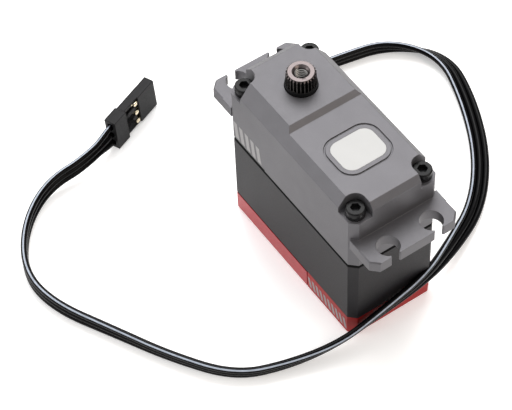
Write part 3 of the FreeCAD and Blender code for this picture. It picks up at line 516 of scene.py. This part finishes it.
def wire_tube(sections, number, verts, faces):
    """Adds one wire's closed tube; number is 1 for the striped wire, 0 for the middle and -1 for the last."""
    first = len(verts)
    for place, across, over, phase, pitch in sections:
        centre = place + across * (number * pitch)
        for k in range(WIRE_SIDES):
            turn = phase + 2 * math.pi * (k - 1) / WIRE_SIDES
            verts.append(centre + (across * math.cos(turn) + over * math.sin(turn)) * WIRE_RADIUS)
    for i in range(len(sections) - 1):
        low = first + i * WIRE_SIDES
        for k in range(WIRE_SIDES):
            after = (k + 1) % WIRE_SIDES
            faces.append((low + k, low + after, low + WIRE_SIDES + after, low + WIRE_SIDES + k))
    faces.append(tuple(first + k for k in reversed(range(WIRE_SIDES))))
    last = len(verts) - WIRE_SIDES
    faces.append(tuple(last + k for k in range(WIRE_SIDES)))


def make_lead(materials):
    line = smooth_line([row[:3] for row in LEAD], STEPS)
    turns = smooth_line([(row[3], row[4], 0) for row in LEAD], STEPS)
    sections = lead_sections(line, [p.x for p in turns], [p.y for p in turns])
    verts = []
    faces = []
    for number in (1, 0, -1):
        wire_tube(sections, number, verts, faces)
    lead = new_piece("lead_ribbon", verts, faces, "case", "lead_insulation",
                     materials["lead_insulation"], materials["lead_stripe"])
    for i in range(len(sections) - 1):
        for k in STRIPE_SIDES:
            lead.data.polygons[i * WIRE_SIDES + k].material_index = 1
    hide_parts("lead_cable")


# ---- thread in the output shaft's bore ----
def make_thread(materials):
    verts = []
    faces = []
    count = THREAD_TURNS * THREAD_STEPS + 1
    for i in range(count):
        turn = 2 * math.pi * i / THREAD_STEPS
        height = THREAD_TOP - THREAD_PITCH * i / THREAD_STEPS
        for out, up in THREAD_SECTION:
            radius = BORE_RADIUS + out * THREAD_HEIGHT
            verts.append((SHAFT_X + radius * math.cos(turn), radius * math.sin(turn),
                          height + up * THREAD_PITCH))
    sides = len(THREAD_SECTION)
    for i in range(count - 1):
        for k in range(sides):
            a = i * sides + k
            b = i * sides + (k + 1) % sides
            faces.append((a, b, b + sides, a + sides))
    faces.append(tuple(range(sides)))
    faces.append(tuple((count - 1) * sides + k for k in reversed(range(sides))))
    thread = new_piece("bore_thread", verts, faces, "output", "spline_steel", materials["thread_steel"])
    thread.data.polygons.foreach_set("use_smooth", [False] * len(thread.data.polygons))


# ---- printed bars on the +Y side ----
def make_print(name, left, bottom, height, count, pitch, width, lean, material):
    """Row of leaning bars that runs from left towards -X; sizes are in mm, lean is a share of height."""
    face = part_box("upper_case")[1].y
    verts = []
    faces = []
    for i in range(count):
        base = len(verts)
        start = i * pitch
        for y in (face - PRINT_THICKNESS, face + PRINT_THICKNESS):
            for along, up in ((start, 0), (start + width, 0), (start + width, height), (start, height)):
                verts.append(((left - along + lean * up) * MM, y, (bottom + up) * MM))
        faces += [[base + k for k in corners] for corners in BOX_FACES]
    piece = new_piece(name, verts, faces, "case", "white_inlay", material)
    piece.data.polygons.foreach_set("use_smooth", [False] * len(piece.data.polygons))


def make_prints(material):
    make_print("upper_print", left=18.2, bottom=23.8, height=4.4, count=5, pitch=1.9, width=1.2, lean=0.15,
               material=material)
    make_print("lower_print", left=-6.6, bottom=1.2, height=2.6, count=10, pitch=1.3, width=0.7, lean=0.3,
               material=material)


# ---- floor, light and camera ----
def make_floor():
    """Pale floor that glows a little, so that it comes out white with faint shadows."""
    mesh = bpy.data.meshes.new("floor")
    corners = [(x * FLOOR_HALF, y * FLOOR_HALF, 0) for x, y in ((-1, -1), (1, -1), (1, 1), (-1, 1))]
    mesh.from_pydata(corners, [], [(0, 1, 2, 3)])
    floor = bpy.data.objects.new("floor", mesh)
    bpy.context.scene.collection.objects.link(floor)
    made = Shader("floor", roughness=0.35)
    made.colour(made.noise(0.4, 2.0), (0.90, 0.90, 0.90), (0.92, 0.92, 0.92))
    made.set("Emission Color", (1, 1, 1, 1))
    made.set("Emission Strength", FLOOR_GLOW)
    paint(floor, made.material)


def area_light(name, place, size, power, colour):
    light = bpy.data.lights.new(name, "AREA")
    light.size = size
    light.energy = power
    light.color = colour
    lamp = bpy.data.objects.new(name, light)
    lamp.location = place
    lamp.rotation_mode = "QUATERNION"
    lamp.rotation_quaternion = (Vector(LIGHT_AIM) - Vector(place)).to_track_quat("-Z", "Y")
    bpy.context.scene.collection.objects.link(lamp)


def make_light():
    """Three soft lights, and surroundings that are brighter on one side."""
    for light in LIGHTS:
        area_light(*light)
    world = bpy.data.worlds.new("studio")
    bpy.context.scene.world = world
    world.use_nodes = True
    background = world.node_tree.nodes["Background"]
    nodes = world.node_tree.nodes
    links = world.node_tree.links
    direction = nodes.new("ShaderNodeTexCoord")
    facing = nodes.new("ShaderNodeVectorMath")
    facing.operation = "DOT_PRODUCT"
    facing.inputs[1].default_value = Vector(SKY_BRIGHT_SIDE).normalized()
    ramp = nodes.new("ShaderNodeValToRGB")
    ramp.color_ramp.elements[0].position = 0.0
    ramp.color_ramp.elements[0].color = SKY_DARK
    ramp.color_ramp.elements[1].position = SKY_FULL
    ramp.color_ramp.elements[1].color = SKY_BRIGHT
    links.new(direction.outputs["Generated"], facing.inputs[0])
    links.new(facing.outputs["Value"], ramp.inputs["Fac"])
    links.new(ramp.outputs["Color"], background.inputs["Color"])
    background.inputs["Strength"].default_value = 1.0


def make_camera():
    data = bpy.data.cameras.new("camera")
    data.lens = CAMERA_LENS
    data.sensor_width = SENSOR_WIDTH
    data.clip_start = CLIP_START
    data.clip_end = CLIP_END
    camera = bpy.data.objects.new("camera", data)
    forward = Vector(CAMERA_FORWARD).normalized()
    right = forward.cross(Vector(CAMERA_UP)).normalized()
    turn = Matrix((right, right.cross(forward), -forward)).transposed()
    camera.matrix_world = Matrix.Translation(CAMERA_PLACE) @ turn.to_4x4()
    bpy.context.scene.collection.objects.link(camera)
    bpy.context.scene.camera = camera


make_camera()
materials = make_materials()
finish_cad_pieces(materials)
make_lead(materials)
make_thread(materials)
make_prints(materials["print_white"])
make_floor()
make_light()
bpy.context.scene.view_settings.view_transform = "Standard"
